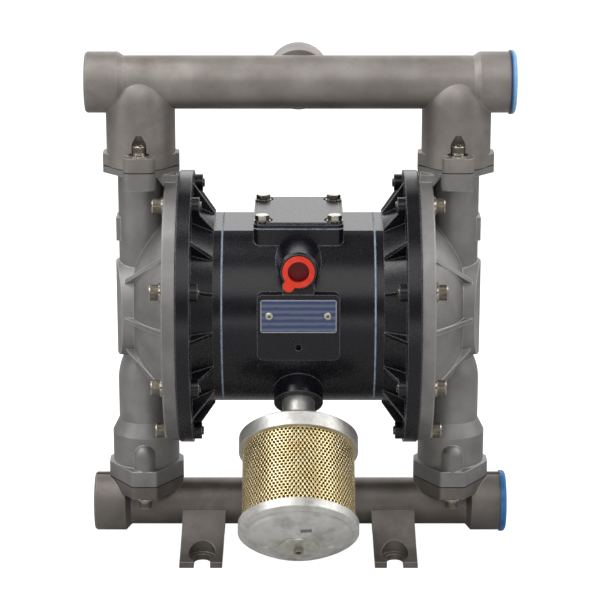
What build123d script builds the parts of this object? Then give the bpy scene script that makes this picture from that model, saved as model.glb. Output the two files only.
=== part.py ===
from build123d import *
from math import cos, radians, sin
import os

# Air operated double diaphragm pump with 1-1/2 inch ports, in millimetres.
# Pieces are drawn about the diaphragm shaft: X along the shaft, -Y to the front, +Z up.
# save() lifts each one by shaft_height, so the origin is on the floor between the feet.

# ---- overall layout ----
shaft_height = 269.0  # shaft axis above the floor
column_x = 164.3  # liquid columns, either side of the middle
outlet_z = 242.0  # outlet manifold axis above the shaft
inlet_z = -221.6  # inlet manifold axis below the shaft
top_joint_z = 155.6  # outlet manifold sits on the liquid caps here
bottom_joint_z = -189.5  # liquid caps sit on the inlet manifold here

# ---- ports and manifold pipes ----
port_face = 220.5  # middle to the end face of a port
thread_r = 23.9  # G 1-1/2 thread, major radius
thread_length = 24.0
socket_r = 31.75
socket_length = 33.6
socket_cone = 6.0
port_cap_r = 33.2  # transit covers over the right-hand ports
port_cap_t = 4.0
port_cap_skirt = 2.5
outlet_pipe_r = 27.7
inlet_pipe_r = 25.2
pipe_bore_r = 19.0
branch_bore_r = 18.0
rear_port_y = 54.0  # face of the rear outlet port
rear_collar_y = 12.0
rear_plug_length = 18.0

# ---- check valves ----
ball_r = 19.0
ball_lift = 10.0
cage_r = 22.5
branch_r = 36.0
seat_r = 27.0
seat_bore_r = 14.5
seat_height = 10.0
seat_bevel = 3.0
seat_gap = 0.2  # kept between a resting ball and the edge of its seat
ring_wire_r = 1.5  # section radius of the seat O-rings
stop_gap = 0.3
stop_bar = 6.0

# ---- joint flanges of the columns ----
flange_side = 39.7  # half width along X
flange_side_flat = 8.0
top_flange_front = 34.5  # half width along Y, and of its front flat
top_flange_flat = 13.5
bottom_flange_front = 45.2
bottom_flange_flat = 13.0
pad_front = 46.5  # front of the screw pads
pad_half = 16.5
outlet_flange_t = 13.0
outlet_pad_t = 15.5
cap_top_flange_t = 7.6
cap_bottom_flange_t = 17.5
cap_pad_t = 18.6
gusset_half = 24.0
inlet_flange_t = 13.5
screw_y = 37.0  # joint screws, in front of and behind the column

# ---- feet of the inlet manifold ----
foot_x = 103.0
foot_lean = 2.8  # the top of a foot is this much nearer the middle
foot_half = 23.0
foot_x_shift = 1.4
foot_front = 76.5
foot_tip_z = 6.7  # heights above the floor
foot_knee_y = 47.5
foot_knee_z = 20.5
foot_top_y = 28.0
foot_top_z = 47.0
foot_arch_y = 20.0
foot_arch_z = 9.0
slot_r = 8.65
slot_y = 62.0
slot_face_r = 14.4

# ---- diaphragm chambers ----
rim_x = 125.3  # plane where liquid cap and air cap meet
liquid_rim_r = 143.0
liquid_rim_face = 139.2
air_rim_r = 144.6
air_rim_face = 110.6
bolt_circle_r = 132.5
bolt_count = 8
air_rib_count = 16
air_rib_t = 4.0
liquid_rib_t = 5.0
dome_base_r = 98.0
dome_middle_x = 159.0
dome_middle_r = 78.0
boss_root_x = 172.0
boss_root_r = 54.0  # end boss of the liquid cap
boss_r = 51.0
boss_face_x = 193.0
boss_face_fall = 9.0  # its two faces fall back this far from the middle line
upper_column_r = 25.0
upper_bore_r = 17.0
lower_column_r = 28.5
lower_bore_r = 19.0
lower_neck_r = 23.0  # the lower passage narrows to this under the boss
lower_neck_z = -55.0
lower_shoulder_z = -80.0
bell_r = 35.5
bell_height = 51.5  # its straight part, above the lower joint
bell_taper = 14.0
thumb_r = 11.5  # rounded bosses that take the lower joint's screws
thumb_height = 44.5
chamber_r = 112.0
bead_r = 126.0
membrane_t = 3.2
membrane_bulge = 7.0

# ---- centre block ----
block_half = 78.25
block_r = 100.5
block_flat_z = 93.0
gasket_t = 1.5
air_hub_face = 88.0
air_floor_x = 90.0
pedestal_x = 46.5
pedestal_y = 58.0
pedestal_z = 99.5
cover_gasket_t = 0.8
cover_t = 4.0
cover_bolt_x = 37.5
cover_bolt_y = 43.3
air_inlet_z = 68.0
air_inlet_face = -106.5
air_inlet_r = 20.3
air_thread_r = 13.2  # G 3/4 thread, major radius
air_thread_length = 15.0
air_relief_r = 13.6
air_relief_depth = 9.0
pad_face = -103.0
pad_x = 42.4
pad_low = -27.6
pad_high = 42.4
plate_x = 39.0
plate_low = 2.2
plate_high = 37.2
plate_t = 0.8
plate_screw_x = 30.0
plate_screw_z = 20.0
exhaust_angle = 42.0  # the exhaust points this far below the horizontal
exhaust_boss_r = 25.5
exhaust_boss_end = 118.0
nipple_r = 17.0
nipple_start = 100.0

cap_screw_r = 60.5  # circle of the screws that hold an air cap to the block
cap_screw_angles = (45, 135, 225, 315)

# ---- moving parts ----
shaft_r = 12.5
shaft_hole_r = 13.0
bearing_gap = 0.05
bush_r = 17.0
bush_length = 30.0
seal_x = 41.0
seal_length = 6.0
seal_pocket_r = 17.5
plate_disc_r = 52.0
plate_inner_x = 108.0
inner_plate_t = 9.0
outer_plate_t = 12.0
shaft_bolt_r = 8.0
shaft_bolt_depth = 35.0
pilot_r = 5.0
pilot_half = 97.7
pilot_z = 40.0
spool_r = 11.95
spool_half = 24.0
spool_z = 85.5
valve_floor_z = 72.0
valve_x = 36.0
valve_y = 30.0
valve_height = 27.0

# ---- muffler, measured along the exhaust axis from the shaft ----
muffler_r = 61.4
screen_r = 57.0
screen_t = 1.2
tie_r = 3.0
tie_hole_r = 3.4
tie_start = 150.0
top_band_end = 176.1
low_band_start = 258.2
low_band_end = 268.5
muffler_face = 284.0

# ---- screws ----
m8_r = 4.0
m8_clear_r = 4.5
m8_head_r = 6.5
m8_head_h = 8.0
m8_washer_r = 10.0
m10_r = 5.0
m10_clear_r = 5.5
m10_head_r = 8.0
m10_head_h = 10.0
washer_t = 2.0


def save(name, shape):
    lifted = Pos(0, 0, shaft_height) * shape
    lifted.label = name
    export_step(lifted, f"parts/{name}.step")


def save_pair(name, right):
    save(f"{name}_right", right)
    save(f"{name}_left", right.mirror(Plane.YZ))


def rod(r, start, end):
    # A round bar or bore between two points.
    run = Vector(*end) - Vector(*start)
    return extrude(Plane(origin=start, z_dir=run) * Circle(r), run.length)


def disc(r, z0, z1):
    return rod(r, (0, 0, z0), (0, 0, z1))


def block(x, y, z):
    # A box between two limits along each axis.
    middle = Pos((x[0] + x[1]) / 2, (y[0] + y[1]) / 2, (z[0] + z[1]) / 2)
    return middle * Box(x[1] - x[0], y[1] - y[0], z[1] - z[0])


def turned_x(*points):
    # Points are (x, radius), turned about the shaft axis.
    return revolve(make_face(Polyline(*points, close=True)), Axis.X)


def turned_z(*points):
    # Points are (radius, z), turned about the vertical axis.
    outline = Polyline(*[(r, 0, z) for r, z in points], close=True)
    return revolve(make_face(outline), Axis.Z)


def hexagon(across_flats, z0, z1):
    face = RegularPolygon(across_flats / 2, 6, major_radius=False)
    return extrude(Pos(0, 0, z0) * face, z1 - z0)


def around_shaft(shape, angle):
    # Angle 0 is to the front and 90 is up.
    return shape.rotate(Axis.X, -angle)


def group(pieces):
    return Compound(list(pieces))


def front_and_back(shape):
    return [shape, shape.mirror(Plane.XZ)]


def bolt_angles():
    step = 360 / bolt_count
    return [step / 2 + step * i for i in range(bolt_count)]


# ---- fasteners ----
def socket_screw(length, r=m10_r, head_r=m10_head_r, head_h=m10_head_h):
    # Bearing face at z = 0, head above it.
    head = turned_z((0, 0), (head_r, 0), (head_r, head_h - 1), (head_r - 1, head_h), (0, head_h))
    shank = disc(r, -length, 0)
    return head + shank - hexagon(head_r, head_h / 2, head_h)


def washer(outer_r, inner_r, thickness=washer_t):
    return disc(outer_r, 0, thickness) - disc(inner_r, 0, thickness)


# ---- columns: joint flanges and ball cages, drawn about the column axis ----
def joint_flange(front, flat, z0, z1):
    side = [(flat, front), (flange_side, flange_side_flat), (flange_side, -flange_side_flat), (flat, -front)]
    outline = make_face(Polyline(*side, *[(-x, -y) for x, y in side], close=True))
    return extrude(Pos(0, 0, z0) * fillet(outline.vertices(), 4), z1 - z0)


def top_flange(z0, z1):
    # Flange of the upper joint, with a pad in front and behind for its screws.
    flange = joint_flange(top_flange_front, top_flange_flat, z0, z1)
    return flange + screw_pads(z0, z1)


def bottom_flange(z0, z1):
    return joint_flange(bottom_flange_front, bottom_flange_flat, z0, z1)


def screw_pads(z0, z1):
    pad = fillet(Rectangle(2 * pad_half, 2 * pad_front).vertices(), 7)
    return extrude(Pos(0, 0, z0) * pad, z1 - z0)


def at_screws(shape, z):
    return Pos(0, -screw_y, z) * shape + Pos(0, screw_y, z) * shape


def screw_holes(r, z0, z1):
    return at_screws(disc(r, 0, z1 - z0), z0)


def screw_pocket():
    # Room for a washer and a screw head, running out into the wall above.
    washer_r = m8_washer_r + 0.6
    head_r = m8_head_r + 1.2
    step = washer_t + 0.8
    top = washer_t + m8_head_h + 3
    tip = top + 9
    wide = [(0, 0), (washer_r, 0), (washer_r, step)]
    return turned_z(*wide, (head_r, step), (head_r, top), (3, tip), (0, tip))


def ball_rest_height():
    # Centre of a resting ball above the foot of its seat.
    edge = seat_height - seat_bevel
    return edge + (ball_r**2 - seat_bore_r**2) ** 0.5 + seat_gap


def ball_cage(z0, z1):
    # The space above a seat, crossed by bars that stop the ball.
    stop_z = z0 + ball_rest_height() + ball_lift + ball_r + stop_gap
    space = disc(cage_r, z0, z1) + disc(seat_r, z0, z0 + seat_height)
    bars = block((-cage_r, cage_r), (-stop_bar / 2, stop_bar / 2), (stop_z, stop_z + stop_bar))
    return space - bars - bars.rotate(Axis.Z, 90)


def make_seat():
    low, high = 0, seat_height
    groove = 2 * ring_wire_r + 0.2
    return turned_z(
        (seat_bore_r, low),
        (seat_r - groove - 0.2, low),
        (seat_r - groove - 0.2, groove),
        (seat_r, groove),
        (seat_r, high),
        (seat_bore_r + seat_bevel, high),
        (seat_bore_r, high - seat_bevel),
    )


def make_seat_ring():
    ring_r = seat_r - ring_wire_r - 0.2
    return Pos(0, 0, ring_wire_r + 0.1) * Torus(ring_r, ring_wire_r)


# ---- outlet manifold ----
def manifold_pipe(pipe_r):
    # Pipe with a socket at each end, about the shaft axis.
    root = port_face - socket_length
    half = [
        (0, pipe_r),
        (root - socket_cone, pipe_r),
        (root, socket_r),
        (port_face - 2, socket_r),
        (port_face, socket_r - 1.5),
        (port_face, 0),
        (0, 0),
    ]
    right = turned_x(*half)
    return right + right.mirror(Plane.YZ)


def manifold_bore():
    start = port_face - thread_length
    right = turned_x(
        (0, 0),
        (0, pipe_bore_r),
        (start - 4, pipe_bore_r),
        (start, thread_r),
        (port_face, thread_r),
        (port_face, 0),
    )
    return right + right.mirror(Plane.YZ)


def make_outlet_manifold():
    pipe = Pos(0, 0, outlet_z) * manifold_pipe(outlet_pipe_r)
    pipe += rod(socket_r, (0, rear_collar_y, outlet_z), (0, rear_port_y, outlet_z))
    dome_z = outlet_z - 20
    branch = disc(branch_r, top_joint_z, dome_z) + Pos(0, 0, dome_z) * Sphere(branch_r)
    branch -= disc(2 * branch_r, outlet_z + 8, outlet_z + 60)
    branch += top_flange(top_joint_z, top_joint_z + outlet_flange_t)
    branch += screw_pads(top_joint_z, top_joint_z + outlet_pad_t)
    pocket_z = top_joint_z + outlet_pad_t
    branch -= at_screws(screw_pocket(), pocket_z)
    branch -= screw_holes(m8_clear_r, top_joint_z, pocket_z)
    cage = ball_cage(top_joint_z, outlet_z)
    for x in (-column_x, column_x):
        pipe += Pos(x, 0, 0) * branch
    for x in (-column_x, column_x):
        pipe -= Pos(x, 0, 0) * cage
    pipe -= Pos(0, 0, outlet_z) * manifold_bore()
    pipe -= rod(branch_bore_r, (0, 0, outlet_z), (0, rear_port_y, outlet_z))
    pipe -= rod(thread_r, (0, rear_port_y - thread_length, outlet_z), (0, rear_port_y, outlet_z))
    return pipe


def make_rear_plug():
    plug = disc(thread_r, 0, rear_plug_length) - hexagon(22, rear_plug_length - 10, rear_plug_length)
    plug = plug.rotate(Axis.X, -90)
    return Pos(0, rear_port_y - rear_plug_length, outlet_z) * plug


# ---- inlet manifold and its feet ----

def make_foot():
    tip, knee, top = (foot_front, foot_tip_z), (foot_knee_y, foot_knee_z), (foot_top_y, foot_top_z)
    arch = [(0, foot_arch_z), (foot_arch_y - 8, foot_arch_z), (foot_arch_y, 0)]
    under = Polyline(*arch, (foot_front, 0), tip)
    over = Polyline(top, (0, foot_top_z), (0, foot_arch_z))
    side = make_face(Curve([under, ThreePointArc(tip, knee, top), over]))
    side += side.mirror(Plane.YZ)
    foot = extrude(Plane.YZ * side, foot_half + 10, both=True)
    low, high = foot_x_shift, foot_x_shift - foot_lean
    front_view = [
        (low - foot_half, 0),
        (low + foot_half, 0),
        (high + foot_half, foot_top_z + 1),
        (high - foot_half, foot_top_z + 1),
    ]
    foot &= extrude(Plane.XZ * make_face(Polyline(*front_view, close=True)), foot_front + 5, both=True)
    slot = disc(slot_r, -1, 30) + block((-slot_r, slot_r), (slot_y - foot_front - 1, 0), (-1, 30))
    slot += disc(slot_face_r, foot_tip_z, 40)
    slot = Pos(0, -slot_y, 0) * slot
    return foot - slot - slot.mirror(Plane.XZ)


def make_inlet_manifold():
    pipe = Pos(0, 0, inlet_z) * manifold_pipe(inlet_pipe_r)
    body = disc(inlet_pipe_r + 1, inlet_z, bottom_joint_z)
    body += bottom_flange(bottom_joint_z - inlet_flange_t, bottom_joint_z)
    flare = [
        (-flange_side + 0.3, bottom_joint_z - 2),
        (flange_side - 0.3, bottom_joint_z - 2),
        (27, bottom_joint_z - 28),
        (-27, bottom_joint_z - 28),
    ]
    side = make_face(Polyline(*flare, close=True))
    body += extrude(Plane.XZ * side, 9, both=True)
    body -= screw_holes(m8_clear_r, bottom_joint_z - inlet_flange_t, bottom_joint_z)
    for x in (-column_x, column_x):
        pipe += Pos(x, 0, 0) * body
    foot = Pos(foot_x, 0, -shaft_height) * make_foot()
    pipe = pipe + foot + foot.mirror(Plane.YZ)
    for x in (-column_x, column_x):
        pipe -= Pos(x, 0, 0) * disc(branch_bore_r, inlet_z, bottom_joint_z)
    return pipe - Pos(0, 0, inlet_z) * manifold_bore()


# ---- liquid cap, right-hand side ----
def liquid_dome():
    # Rim, domed wall and end boss, turned about the shaft axis.
    rim = Polyline(
        (rim_x, 0),
        (rim_x, liquid_rim_r),
        (liquid_rim_face - 1, liquid_rim_r),
        (liquid_rim_face, liquid_rim_r - 1),
        (liquid_rim_face, dome_base_r),
    )
    root = (boss_root_x, boss_root_r)
    wall = ThreePointArc((liquid_rim_face, dome_base_r), (dome_middle_x, dome_middle_r), root)
    boss = Polyline(root, (boss_face_x, boss_r), (boss_face_x, 0), (rim_x, 0))
    dome = revolve(make_face(Curve([rim, wall, boss])), Axis.X)
    # the end is two faces that meet on an upright line
    fall = Vector(-boss_face_fall, -boss_r)
    beyond = boss_face_x + boss_face_fall
    end = [(boss_face_x, 0), (boss_face_x + 2 * fall.X, 2 * fall.Y), (beyond, 2 * fall.Y), (beyond, 0)]
    cut = extrude(make_face(Polyline(*end, close=True)), 2 * boss_r, both=True)
    return dome - cut - cut.mirror(Plane.XZ)


def liquid_rib():
    outline = [
        (liquid_rim_face - 2, 60),
        (liquid_rim_face - 2, dome_base_r + 5),
        (liquid_rim_face, dome_base_r + 5),
        (boss_root_x + 8, boss_r + 4.5),
        (boss_root_x + 11, boss_r - 1),
        (boss_root_x, 30),
    ]
    side = make_face(Polyline(*outline, close=True))
    return extrude(Plane.XZ * side, liquid_rib_t / 2, both=True)


def liquid_column():
    # Both passages of a cap, with their flanges, about the column axis.
    bell_end = bottom_joint_z + bell_height
    lower = Polyline(
        (lower_column_r, 0, lower_shoulder_z),
        (lower_column_r, 0, bell_end + bell_taper),
        (bell_r, 0, bell_end),
        (bell_r, 0, bottom_joint_z),
        (0, 0, bottom_joint_z),
        (0, 0, 0),
        (lower_neck_r, 0, 0),
        (lower_neck_r, 0, lower_neck_z),
    )
    middle_r = lower_column_r - 0.25 * (lower_column_r - lower_neck_r)
    middle_z = (lower_neck_z + lower_shoulder_z) / 2
    shoulder = ThreePointArc(
        (lower_neck_r, 0, lower_neck_z), (middle_r, 0, middle_z), (lower_column_r, 0, lower_shoulder_z)
    )
    column = revolve(make_face(Curve([lower, shoulder])), Axis.Z)
    column += disc(upper_column_r, 0, top_joint_z)
    column += top_flange(top_joint_z - cap_top_flange_t, top_joint_z)
    column += screw_pads(top_joint_z - cap_pad_t, top_joint_z)
    column += bottom_flange(bottom_joint_z, bottom_joint_z + cap_bottom_flange_t)
    thumb_y = bottom_flange_front - thumb_r
    thumb_z = bottom_joint_z + thumb_height - thumb_r
    thumb = rod(thumb_r, (0, -thumb_y, bottom_joint_z), (0, -thumb_y, thumb_z))
    thumb += Pos(0, -thumb_y, thumb_z) * Sphere(thumb_r)
    column += thumb + thumb.mirror(Plane.XZ)
    return column + block((upper_column_r - 8, upper_column_r + 2), (-12, 12), (75, 100))


def make_gusset():
    # A wedge that carries the upper flange on the rim.
    low_x = rim_x + 1
    top_z = top_joint_z - cap_top_flange_t + 1
    outline = [(low_x, 105), (low_x, top_z), (150, top_z), (137, 133), (137, 105)]
    return extrude(Plane.XZ * make_face(Polyline(*outline, close=True)), gusset_half, both=True)


def make_fluid_cap():
    cap = liquid_dome()
    for angle in (-45, 0, 45, 135, 180, 225):
        cap += around_shaft(liquid_rib(), angle - 90)
    cap += Pos(column_x, 0, 0) * liquid_column()
    cap += make_gusset()
    cap -= turned_x(
        (rim_x, 0),
        (rim_x, chamber_r),
        (rim_x + 4, chamber_r - 2),
        (137, dome_base_r - 6),
        (157, dome_middle_r - 9),
        (167, boss_root_r - 8),
        (177, boss_r - 15),
        (177, 0),
    )
    passage = disc(upper_bore_r, 20, top_joint_z) + disc(lower_bore_r, bottom_joint_z + 55, -20)
    passage += ball_cage(bottom_joint_z, bottom_joint_z + 60)
    passage += screw_holes(m8_r, top_joint_z - 15.6, top_joint_z)
    passage += screw_holes(m8_r, bottom_joint_z, bottom_joint_z + 30)
    cap -= Pos(column_x, 0, 0) * passage
    hole = rod(m10_clear_r, (rim_x, -bolt_circle_r, 0), (liquid_rim_face, -bolt_circle_r, 0))
    for angle in bolt_angles():
        cap -= around_shaft(hole, angle)
    return cap


# ---- air cap, right-hand side ----
def air_port(x0, x1, r):
    # Oblique passage from the air valve to a chamber.
    return rod(r, (x0, 0, 73), (x1, 14, 46))


def make_air_cap():
    start = block_half + gasket_t
    cap = turned_x(
        (start, 0),
        (start, block_r),
        (air_hub_face, block_r),
        (air_rim_face, 112),
        (air_rim_face, air_rim_r),
        (rim_x - 1, air_rim_r),
        (rim_x, air_rim_r - 1),
        (rim_x, 0),
    )
    outline = [(air_hub_face, 90), (air_hub_face, 103), (air_rim_face, 135), (air_rim_face, 90)]
    rib = extrude(Plane.XZ * make_face(Polyline(*outline, close=True)), air_rib_t / 2, both=True)
    for i in range(air_rib_count):
        cap += around_shaft(rib, 360 / air_rib_count * i)
    lug = rod(9, (102, -bolt_circle_r, 0), (air_rim_face + 1, -bolt_circle_r, 0))
    hole = rod(m10_r, (100, -bolt_circle_r, 0), (rim_x, -bolt_circle_r, 0))
    for angle in bolt_angles():
        cap += around_shaft(lug, angle)
    for angle in bolt_angles():
        cap -= around_shaft(hole, angle)
    cap -= block((start, air_hub_face - 0.01), (-60, 60), (block_flat_z, 150))
    cap -= turned_x(
        (air_floor_x, 0),
        (air_floor_x, 68),
        (108, 98),
        (rim_x - membrane_t, chamber_r),
        (rim_x - membrane_t, bead_r),
        (rim_x, bead_r),
        (rim_x, 0),
    )
    cap -= rod(shaft_hole_r, (start, 0, 0), (air_floor_x, 0, 0))
    cap -= rod(pilot_r + 0.4, (start, 0, pilot_z), (air_floor_x, 0, pilot_z))
    cap -= air_port(24, 95, 4.5)
    screw_hole = rod(4.4, (start, -cap_screw_r, 0), (air_floor_x, -cap_screw_r, 0))
    for angle in cap_screw_angles:
        cap -= around_shaft(screw_hole, angle)
    return cap


def make_cap_screws():
    screw = socket_screw(28, 4.0, 6.5, 8.0).rotate(Axis.Y, 90)
    screw = Pos(air_floor_x, -cap_screw_r, 0) * screw
    return group(around_shaft(screw, angle) for angle in cap_screw_angles)


def make_chamber_screws():
    face = liquid_rim_face + washer_t
    screw = socket_screw(face - 100.0).rotate(Axis.Y, 90)
    screw = Pos(face, -bolt_circle_r, 0) * screw
    return group(around_shaft(screw, angle) for angle in bolt_angles())


def make_chamber_washers():
    ring = washer(10.0, m10_clear_r).rotate(Axis.Y, 90)
    ring = Pos(liquid_rim_face, -bolt_circle_r, 0) * ring
    return group(around_shaft(ring, angle) for angle in bolt_angles())


def make_cap_gasket():
    end = block_half + gasket_t
    gasket = rod(block_r, (block_half, 0, 0), (end, 0, 0))
    gasket -= block((block_half, end), (-60, 60), (block_flat_z, 150))
    gasket -= rod(shaft_hole_r + 1, (block_half, 0, 0), (end, 0, 0))
    gasket -= rod(pilot_r + 1, (block_half, 0, pilot_z), (end, 0, pilot_z))
    gasket -= air_port(24, 95, 5.5)
    hole = rod(4.4, (block_half, -cap_screw_r, 0), (end, -cap_screw_r, 0))
    for angle in cap_screw_angles:
        gasket -= around_shaft(hole, angle)
    return gasket


# ---- diaphragms, shaft and clamp plates ----
def make_diaphragm():
    inner = plate_inner_x + inner_plate_t
    outer = inner + membrane_t
    rim_inner = rim_x - membrane_t
    hole_r = shaft_bolt_r + 0.3
    flat_r = plate_disc_r + 4
    crown_r = (flat_r + chamber_r) / 2
    crown_x = (outer + rim_x) / 2 + membrane_bulge
    edges = [
        Line((inner, hole_r), (inner, flat_r)),
        ThreePointArc((inner, flat_r), (crown_x - membrane_t, crown_r), (rim_inner, chamber_r)),
        Polyline(
            (rim_inner, chamber_r), (rim_inner, bead_r - 0.3), (rim_x, bead_r - 0.3), (rim_x, chamber_r)
        ),
        ThreePointArc((rim_x, chamber_r), (crown_x, crown_r), (outer, flat_r)),
        Polyline((outer, flat_r), (outer, hole_r), (inner, hole_r)),
    ]
    return revolve(make_face(Curve(edges)), Axis.X)


def clamp_plate(inner_x, outer_x, rounded_x):
    # A disc on the shaft, its free edge rounded off.
    step = 4 if rounded_x == outer_x else -4
    other = inner_x if rounded_x == outer_x else outer_x
    return turned_x(
        (other, shaft_bolt_r),
        (other, plate_disc_r),
        (rounded_x - step, plate_disc_r),
        (rounded_x, plate_disc_r - 4),
        (rounded_x, shaft_bolt_r),
    )


def make_shaft():
    shaft = rod(shaft_r, (-plate_inner_x, 0, 0), (plate_inner_x, 0, 0))
    hole = rod(shaft_bolt_r, (plate_inner_x - shaft_bolt_depth, 0, 0), (plate_inner_x, 0, 0))
    return shaft - hole - hole.mirror(Plane.YZ)


def make_plate_screws():
    face = plate_inner_x + inner_plate_t + membrane_t + outer_plate_t
    start = plate_inner_x - shaft_bolt_depth
    head = Pos(face, 0, 0) * hexagon(24, 0, 9).rotate(Axis.Y, 90)
    right = head + rod(shaft_bolt_r, (start, 0, 0), (face, 0, 0))
    return group([right, right.mirror(Plane.YZ)])


def make_pilot_rod():
    tip = 1.0
    return turned_x(
        (-pilot_half, 0),
        (-pilot_half, pilot_r - tip),
        (-pilot_half + tip, pilot_r),
        (pilot_half - tip, pilot_r),
        (pilot_half, pilot_r - tip),
        (pilot_half, 0),
    ).translate((0, 0, pilot_z))


# ---- air valve ----
def make_valve_sleeve():
    gap = 0.3
    sleeve = block(
        (-valve_x + gap, valve_x - gap),
        (-valve_y + gap, valve_y - gap),
        (valve_floor_z, valve_floor_z + valve_height),
    )
    bore_r = spool_r + bearing_gap
    sleeve -= rod(bore_r, (-valve_x, 0, spool_z), (valve_x, 0, spool_z))
    for x in (-24, -14, 0, 14, 24):
        sleeve -= rod(3.5, (x, 0, valve_floor_z), (x, 0, spool_z))
    return sleeve


def make_spool():
    neck_r = 7.0
    spool = rod(spool_r, (-spool_half, 0, spool_z), (spool_half, 0, spool_z))
    for x in (-17, 5):
        groove = rod(spool_r + 1, (x, 0, spool_z), (x + 12, 0, spool_z))
        spool -= groove - rod(neck_r, (x, 0, spool_z), (x + 12, 0, spool_z))
    return spool


def make_cover_sheet(z0, z1, hole_r):
    sheet = block((-pedestal_x, pedestal_x), (-pedestal_y, pedestal_y), (z0, z1))
    sheet = fillet(sheet.edges().filter_by(Axis.Z), 7)
    for x in (-cover_bolt_x, cover_bolt_x):
        for y in (-cover_bolt_y, cover_bolt_y):
            sheet -= Pos(x, y, 0) * disc(hole_r, z0, z1)
    return sheet


def make_valve_cover():
    low = pedestal_z + cover_gasket_t
    cover = make_cover_sheet(low, low + cover_t, 4.4)
    raised = block((-33, 33), (-pedestal_y + 4, pedestal_y - 4), (low + cover_t, low + cover_t + 1.6))
    raised += block((-43, 43), (-31, 31), (low + cover_t, low + cover_t + 1.6))
    for x in (-cover_bolt_x, cover_bolt_x):
        for y in (-cover_bolt_y, cover_bolt_y):
            raised -= Pos(x, y, 0) * disc(11, low + cover_t, low + cover_t + 2)
    return cover + raised


def at_cover_bolts(shape, z):
    return group(
        Pos(x, y, z) * shape
        for x in (-cover_bolt_x, cover_bolt_x)
        for y in (-cover_bolt_y, cover_bolt_y)
    )


def make_cover_bolt():
    head = hexagon(13, 0, 5.5) & turned_z((0, 0), (7.6, 0), (7.6, 4.5), (6.3, 5.5), (0, 5.5))
    return head + disc(4.0, -28, 0)


# ---- centre block ----
def exhaust_place(shape):
    # Moves a piece drawn along +Z onto the exhaust axis.
    return shape.rotate(Axis.X, 90 + exhaust_angle)


def rounded_pad(x_half, low, high, y0, y1, corner):
    pad = block((-x_half, x_half), (y0, y1), (low, high))
    return fillet(pad.edges().filter_by(Axis.Y), corner)


def make_centre_block():
    solid = rod(block_r, (-block_half, 0, 0), (block_half, 0, 0))
    solid -= block((-block_half, block_half), (-60, 60), (block_flat_z, 150))
    pedestal = block((-pedestal_x, pedestal_x), (-pedestal_y, pedestal_y), (50, pedestal_z))
    solid += fillet(pedestal.edges().filter_by(Axis.Z), 7)
    inlet = turned_z((0, 60), (24.5, 60), (air_inlet_r, 104.5), (air_inlet_r - 2, 106.5), (0, 106.5))
    solid += Pos(0, 0, air_inlet_z) * inlet.rotate(Axis.X, 90)
    solid += rounded_pad(pad_x, pad_low, pad_high, pad_face, -60, 6)
    solid += block((-16, 16), (pad_face + 1, -60), (pad_high - 8, air_inlet_z - 8))
    solid += exhaust_place(disc(exhaust_boss_r, 60, exhaust_boss_end))
    # air valve pocket, its screws and passages
    solid -= block((-valve_x, valve_x), (-valve_y, valve_y), (valve_floor_z, pedestal_z))
    for x in (-cover_bolt_x, cover_bolt_x):
        for y in (-cover_bolt_y, cover_bolt_y):
            solid -= Pos(x, y, 0) * disc(4.0, pedestal_z - 24, pedestal_z)
    solid -= rod(8.5, (0, air_inlet_face, air_inlet_z), (0, 5, air_inlet_z))
    solid -= rod(5, (0, 0, air_inlet_z), (0, 0, valve_floor_z))
    relief_end = air_inlet_face + air_relief_depth
    solid -= rod(air_relief_r, (0, air_inlet_face, air_inlet_z), (0, relief_end, air_inlet_z))
    thread_end = relief_end + air_thread_length
    solid -= rod(air_thread_r, (0, relief_end, air_inlet_z), (0, thread_end, air_inlet_z))
    for side in (-1, 1):
        solid -= rod(4.5, (24 * side, 0, 73), (95 * side, 14, 46))
        solid -= rod(3.5, (14 * side, 0, 73), (7 * side, -38, -34))
    # exhaust
    solid -= exhaust_place(disc(12, 42, exhaust_boss_end))
    solid -= exhaust_place(disc(nipple_r, nipple_start, exhaust_boss_end))
    # shaft, pilot rod and cap screws
    solid -= rod(shaft_hole_r, (-block_half, 0, 0), (block_half, 0, 0))
    solid -= rod(pilot_r + bearing_gap, (-block_half, 0, pilot_z), (block_half, 0, pilot_z))
    pocket = rod(bush_r, (block_half - bush_length, 0, 0), (block_half, 0, 0))
    pocket += rod(seal_pocket_r, (seal_x, 0, 0), (seal_x + seal_length, 0, 0))
    screw_hole = rod(4.0, (block_half - 17, -cap_screw_r, 0), (block_half, -cap_screw_r, 0))
    for angle in cap_screw_angles:
        pocket += around_shaft(screw_hole, angle)
    solid -= pocket
    solid -= pocket.mirror(Plane.YZ)
    # nameplate screws and the blind hole under the plate
    for x in (-plate_screw_x, plate_screw_x):
        solid -= rod(1.8, (x, pad_face, plate_screw_z), (x, pad_face + 8, plate_screw_z))
    solid -= rod(3.3, (0, pad_face, -13.8), (0, pad_face + 9, -13.8))
    return solid


def bearing_ring(outer_r, x0, x1):
    bore = shaft_r + bearing_gap
    return rod(outer_r, (x0, 0, 0), (x1, 0, 0)) - rod(bore, (x0, 0, 0), (x1, 0, 0))


def make_nameplate():
    plate = rounded_pad(plate_x, plate_low, plate_high, pad_face - plate_t, pad_face, 2.5)
    for x in (-plate_screw_x, plate_screw_x):
        plate -= rod(2.2, (x, pad_face - plate_t, plate_screw_z), (x, pad_face, plate_screw_z))
    return plate


def make_nameplate_screws():
    head = turned_z((0, 0), (3.4, 0), (3.4, 0.6), (2.2, 1.6), (0, 1.6))
    screw = (head + disc(1.8, -7, 0)).rotate(Axis.X, 90)
    face = pad_face - plate_t
    return group(Pos(x, face, plate_screw_z) * screw for x in (-plate_screw_x, plate_screw_x))


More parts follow.
